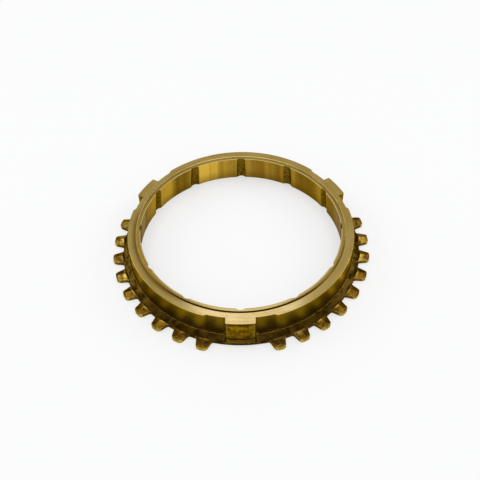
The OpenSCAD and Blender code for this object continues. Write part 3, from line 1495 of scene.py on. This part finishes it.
@dataclass
class SynchronizerRing:
    """The whole ring, made of its body, teeth and oil grooves."""

    sizes: RingSizes
    sharp_angle: float = 34.0

    def finishes(self) -> dict[Zone, Finish]:
        """The finish of each zone."""
        return {**self.turned_finishes(), **self.worn_finishes(), **self.forged_finishes()}

    def turned_finishes(self) -> dict[Zone, Finish]:
        """Makes the finishes of the turned surfaces.

        Returns:
            The finishes by zone.
        """
        return {
            Zone.FACE: TurnedFace(
                name="turned_face",
                clean=(0.68, 0.51, 0.18),
                dull=(0.48, 0.335, 0.075),
                wear_and_highlight=(0.56, 0.41, 0.12),
                gloss=0.12,
                matt=0.2,
                cloud_share=0.5,
                depth=0.0008,
                spacing=0.2,
                smear=0.15,
                rim_tint=(0.9, 0.75, 0.4),
                sizes=self.sizes,
            ),
            # The wall's dull colour is tarnish, darkened further as painted shade for the dark surroundings
            # that it reflects
            Zone.WALL: TurnedStretches(
                name="turned_wall",
                clean=(0.74, 0.51, 0.07),
                dull=(0.17, 0.107, 0.008),
                wear_and_highlight=(0.26, 0.17, 0.02),
                gloss=0.3,
                matt=0.38,
                smear=0.0,
                banding=0.15,
                painted_shade_share=0.8,
                least=0.9,
                # Painted light on the sides of the wall, which take its clean colour
                painted_light_arcs=(Arc(194.0, 3.0, 22.0), Arc(346.0, 3.0, 30.0)),
            ),
            # The cone takes its clean colour mostly in its painted reflections
            Zone.CONE: TurnedCone(
                name="friction_cone",
                clean=(0.78, 0.50, 0.06),
                dull=(0.21, 0.108, 0.009),
                wear_and_highlight=(0.30, 0.19, 0.025),
                gloss=0.16,
                matt=0.3,
                cloud_share=0.4,
                banding=0.1,
                depth=0.004,
                rim_tint=(0.62, 0.54, 0.42),
                least=0.85,
                # Painted reflections: bright upright stretches on the cone
                painted_light_arcs=(
                    Arc(113.6, 3.3, 0.6),
                    Arc(107.1, 2.0, 0.8, 0.8),
                    Arc(110.0, 6.0, 1.5, 0.25),
                    Arc(98.0, 6.0, 3.0, 0.25),
                    Arc(147.0, 8.0, 7.0, 0.45),
                ),
                # Painted shade: dark reflections on some stretches, and darker towards the bottom
                dark=(
                    Arc(44.0, 3.0, 6.0, 0.55),
                    Arc(68.0, 2.0, 5.0, 0.25),
                    Arc(96.0, 1.0, 3.0, 0.2),
                    Arc(130.0, 3.0, 6.0, 0.55),
                    Band(0.0, 5.0, 0.5, 0.0),
                ),
            ),
            Zone.SHOULDER: Turned(
                name="turned_shoulder",
                clean=(0.125, 0.072, 0.006),
                dull=(0.055, 0.029, 0.002),
                wear_and_highlight=(0.36, 0.25, 0.05),
                gloss=0.3,
                matt=0.4,
                # A thin broken line of painted highlight, with wear, along the shoulder's edge
                wear_and_highlight_start=0.02,
                wear_and_highlight_full=0.07,
            ),
            Zone.UNDER: Turned(
                name="turned_underside",
                clean=(0.52, 0.37, 0.10),
                dull=(0.34, 0.23, 0.045),
                wear_and_highlight=(0.60, 0.44, 0.14),
                gloss=0.2,
                matt=0.34,
            ),
        }

    def worn_finishes(self) -> dict[Zone, Finish]:
        """Makes the finishes of the grooves and the lugs, which have no turning marks.

        Returns:
            The finishes by zone.
        """
        top = self.sizes.height
        lug_band = 1.6
        return {
            Zone.RECESS: FaceGroove(
                name="face_groove",
                clean=(0.74, 0.57, 0.20),
                dull=(0.10, 0.052, 0.004),
                wear_and_highlight=(0.40, 0.29, 0.07),
                gloss=0.34,
                matt=0.45,
                depth=0.01,
                painted_shade_share=1.0,
                # Painted shade in the groove at the front, at the back and on one side
                painted_shade_arcs=(Arc(271.0, 16.0, 40.0), Arc(90.0, 68.0, 20.0, 0.65), Arc(338.0, 4.0, 12.0, 0.4)),
            ),
            Zone.LUG: LugFace(
                name="lug_face",
                clean=(0.30, 0.175, 0.012),
                dull=(0.055, 0.028, 0.003),
                wear_and_highlight=(0.20, 0.14, 0.035),
                gloss=0.3,
                matt=0.45,
                cloud=2.0,
                cloud_share=0.75,
                painted_shade_share=0.3,
                rim_tint=(0.6, 0.45, 0.15),
                # A band darker towards the top
                dark=(Band(top - lug_band, top - lug_band / 3, 0.0, 0.6),),
            ),
            Zone.GROOVE: Finish(
                name="oil_groove",
                clean=(0.11, 0.068, 0.004),
                dull=(0.08, 0.046, 0.003),
                wear_and_highlight=(0.20, 0.12, 0.015),
                gloss=0.34,
                matt=0.5,
                cloud=5.0,
                cloud_share=0.3,
                painted_shade_share=0.3,
                rim_tint=(0.5, 0.36, 0.12),
                # Painted shade: darker towards the bottom of the groove
                dark=(Band(0.0, top, 0.85, 0.0),),
            ),
        }

    def forged_finishes(self) -> dict[Zone, Finish]:
        """Makes the finishes of the forged surfaces.

        Returns:
            The finishes by zone. The flanks of the teeth differ little from their roofs.
        """
        roofs = ForgedTeeth(
            name="forged_teeth",
            clean=(0.16, 0.083, 0.008),
            dull=(0.055, 0.026, 0.003),
            wear_and_highlight=(0.62, 0.45, 0.09),
            gloss=0.2,
            matt=0.36,
            depth=0.04,
            # Painted light on the teeth at the sides and on one stretch near the front
            painted_light_arcs=(Arc(186.0, 12.0, 16.0, 0.95), Arc(2.0, 12.0, 10.0, 0.5), Arc(291.0, 6.0, 8.0, 0.55)),
            painted_light=(0.52, 0.36, 0.08),
            painted_shade_share=1.2,
            grain=0.45,
            # Painted highlights, with wear, along the teeth's edges
            wear_and_highlight_start=0.05,
            wear_and_highlight_full=0.16,
            teeth=Teeth(self.sizes),
        )
        flanks = replace(
            roofs,
            name="forged_flanks",
            clean=(0.17, 0.115, 0.014),
            dull=(0.075, 0.046, 0.005),
            wear_and_highlight=(0.56, 0.41, 0.10),
            depth=0.03,
            painted_light_arcs=(),
        )
        flange = ForgingWithPaintedLight(
            name="forged_flange",
            clean=(0.085, 0.048, 0.006),
            dull=(0.032, 0.017, 0.002),
            wear_and_highlight=(0.14, 0.09, 0.012),
            gloss=0.42,
            matt=0.62,
            painted_shade_share=1.2,
            depth=0.08,
            # Painted light on the flange at the sides
            painted_light_arcs=(Arc(196.0, 8.0, 22.0, 0.7), Arc(344.0, 8.0, 22.0, 0.5)),
        )
        return {Zone.FLANGE: flange, Zone.TOOTH: roofs, Zone.FLANK: flanks}

    def build(self) -> Object:
        """Models the ring, dresses it and sets it in the place of its solid.

        Returns:
            The finished piece.
        """
        effects = Effects()
        effects.build()
        finishes = self.finishes()
        materials = [finishes[zone].build(effects) for zone in Zone]
        makers = {"ring": RingBody, "teeth": Teeth, "grooves": OilGrooves}
        shapes = []
        for name, maker in makers.items():
            made = new_object(name, maker(self.sizes).build())
            for material in materials:
                made.data.materials.append(material)
            LOG.info("%s: %d faces", name, len(made.data.polygons))
            shapes.append(made)
        piece, teeth, grooves = shapes
        join(piece, teeth, Join.ADD)
        join(piece, grooves, Join.CUT)
        self.finish_mesh(piece)
        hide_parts(NODE)
        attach(piece, BODY)
        return piece

    def finish_mesh(self, piece: Object) -> None:
        """Scales the mesh to metres, marks how far its edges stand out and shades it.

        Args:
            piece: The joined ring, in millimetres.
        """
        shape = bmesh.new()
        shape.from_mesh(piece.data)
        bmesh.ops.remove_doubles(shape, verts=shape.verts, dist=SAME_PLACE)
        loose = [edge for edge in shape.edges if edge.is_wire]
        bmesh.ops.delete(shape, geom=loose, context="EDGES")
        bmesh.ops.transform(shape, verts=shape.verts, matrix=Matrix.Scale(MM, 4))
        shape.normal_update()
        layer = shape.verts.layers.float.new(EDGE_LAYER)
        for vert in shape.verts:
            bends = [edge.calc_face_angle_signed(0) for edge in vert.link_edges]
            vert[layer] = sum(bends) / len(bends)
        shape.to_mesh(piece.data)
        shape.free()
        piece.data.shade_smooth()
        piece.data.set_sharp_from_angle(angle=math.radians(self.sharp_angle))
        weighted = piece.modifiers.new("weighted", "WEIGHTED_NORMAL")
        weighted.keep_sharp = True
        bake_modifiers(piece)


@dataclass(frozen=True)
class SoftBox:
    """A flat lamp above the ring that faces it."""

    name: str
    place: tuple[float, float, float]
    width: float
    length: float
    radiance: float
    colour: Colour = (1.0, 1.0, 1.0)

    def build(self) -> Object:
        """Makes the lamp.

        Returns:
            The lamp's object, turned to face the ring.
        """
        lamp = bpy.data.lights.new(self.name, "AREA")
        lamp.shape = "RECTANGLE"
        lamp.color = self.colour
        lamp.size = self.width * MM
        lamp.size_y = self.length * MM
        lamp.energy = LAMP_POWER * lamp.size * lamp.size_y * self.radiance
        made = bpy.data.objects.new(self.name, lamp)
        bpy.context.scene.collection.objects.link(made)
        made.location = Vector(self.place) * MM
        made.rotation_euler = Vector(self.place).to_track_quat("Z", "Y").to_euler()
        return made


@dataclass
class Studio:
    """The pale floor, the lamps and the camera of the photograph."""

    sizes: RingSizes
    # Width of the photo and the fitted focal length, in its pixels
    photo_px: float = 480.0
    focal_px: float = 681.77
    elevation: float = 48.6032
    distance: float = 207.964
    aim: tuple[float, float] = (-0.3085, -5.4616)
    roll: float = -1.3057
    ring_turn: float = 1.1295
    sensor: float = 36.0
    # The distance from which on the camera sees
    nearest: float = 5.0
    floor_r: float = 3000.0
    floor_segments: int = 96
    floor_colour: Colour = (0.50, 0.52, 0.565)
    # Light that is added to the floor where it is seen
    floor_lift: float = 0.53
    world_colour: Colour = (0.52, 0.49, 0.42)

    def soft_boxes(self) -> list[SoftBox]:
        """Lists the lamps.

        Returns:
            A wide one above the ring, a strip behind it and one on each side.
        """
        return [
            SoftBox("overhead", (0.0, -60.0, 700.0), 620.0, 560.0, 1.1),
            SoftBox("strip", (-2.0, 420.0, 700.0), 160.0, 380.0, 0.66, (0.92, 1.0, 1.75)),
            SoftBox("left", (-600.0, 210.0, 400.0), 350.0, 300.0, 1.3),
            SoftBox("right", (600.0, 210.0, 400.0), 350.0, 300.0, 1.3),
        ]

    def camera(self) -> Object:
        """Sets the camera where the photograph was taken from.

        Returns:
            The camera's object.
        """
        rise = math.radians(self.elevation)
        back = Vector((0, -math.cos(rise), math.sin(rise)))
        right = Vector((1, 0, 0))
        up = back.cross(right)
        roll = math.radians(self.roll)
        side = right * math.cos(roll) + up * math.sin(roll)
        top = up * math.cos(roll) - right * math.sin(roll)
        place = Vector((*self.aim, self.sizes.height)) + back * self.distance
        pose = Matrix((side, top, back)).transposed().to_4x4()
        pose.translation = place * MM
        lens = bpy.data.cameras.new("photo_camera")
        lens.sensor_fit = "HORIZONTAL"
        lens.sensor_width = self.sensor
        lens.lens = self.sensor * self.focal_px / self.photo_px
        lens.clip_start = self.nearest * MM
        made = bpy.data.objects.new("photo_camera", lens)
        bpy.context.scene.collection.objects.link(made)
        made.matrix_world = turned(self.ring_turn) @ pose
        bpy.context.scene.camera = made
        return made

    def floor_material(self) -> Material:
        """Makes a pale floor that looks a little paler, also in the brass, than it lights the ring.

        Returns:
            The material.
        """
        material = bpy.data.materials.new("pale_floor")
        material.use_nodes = True
        tree = material.node_tree
        tree.nodes.clear()
        graph = Graph(tree)
        plain = graph.node("BsdfDiffuse", {"Color": (*self.floor_colour, 1.0)}).outputs[0]
        path = graph.node("LightPath", {}).outputs
        seen = graph.math("MAXIMUM", path["Is Camera Ray"], path["Is Glossy Ray"])
        glow = graph.node("Emission", {"Strength": graph.times(seen, self.floor_lift)}).outputs[0]
        both = graph.node("AddShader", {0: plain, 1: glow}).outputs[0]
        graph.node("OutputMaterial", {"Surface": both})
        return material

    def floor(self) -> Object:
        """Lays the floor under the ring.

        Returns:
            The floor's object.
        """
        shape = bmesh.new()
        radius = self.floor_r * MM
        bmesh.ops.create_circle(shape, cap_ends=True, segments=self.floor_segments, radius=radius)
        made = new_object("floor", shape)
        made.data.materials.append(self.floor_material())
        return made

    def world(self) -> None:
        """Lights the room evenly."""
        world = bpy.data.worlds.new("room")
        bpy.context.scene.world = world
        world.use_nodes = True
        shade = next(item for item in world.node_tree.nodes if item.type == "BACKGROUND")
        shade.inputs["Color"].default_value = (*self.world_colour, 1.0)
        shade.inputs["Strength"].default_value = 1.0

    def build(self) -> None:
        """Sets up the floor, the room, the lamps and the camera."""
        self.floor()
        self.world()
        for box in self.soft_boxes():
            box.build()
            LOG.info("lamp: %s", box.name)
        self.camera()
        bpy.context.scene.view_settings.view_transform = "Standard"


def main() -> None:
    """Builds the ring and the studio."""
    logging.basicConfig(level=logging.INFO, format="%(name)s: %(message)s")
    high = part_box(NODE)[1]
    sizes = RingSizes(height=high.z / MM)
    ring = SynchronizerRing(sizes).build()
    LOG.info("piece: %s", ring.name)
    Studio(sizes).build()


if __name__ == "__main__":
    main()
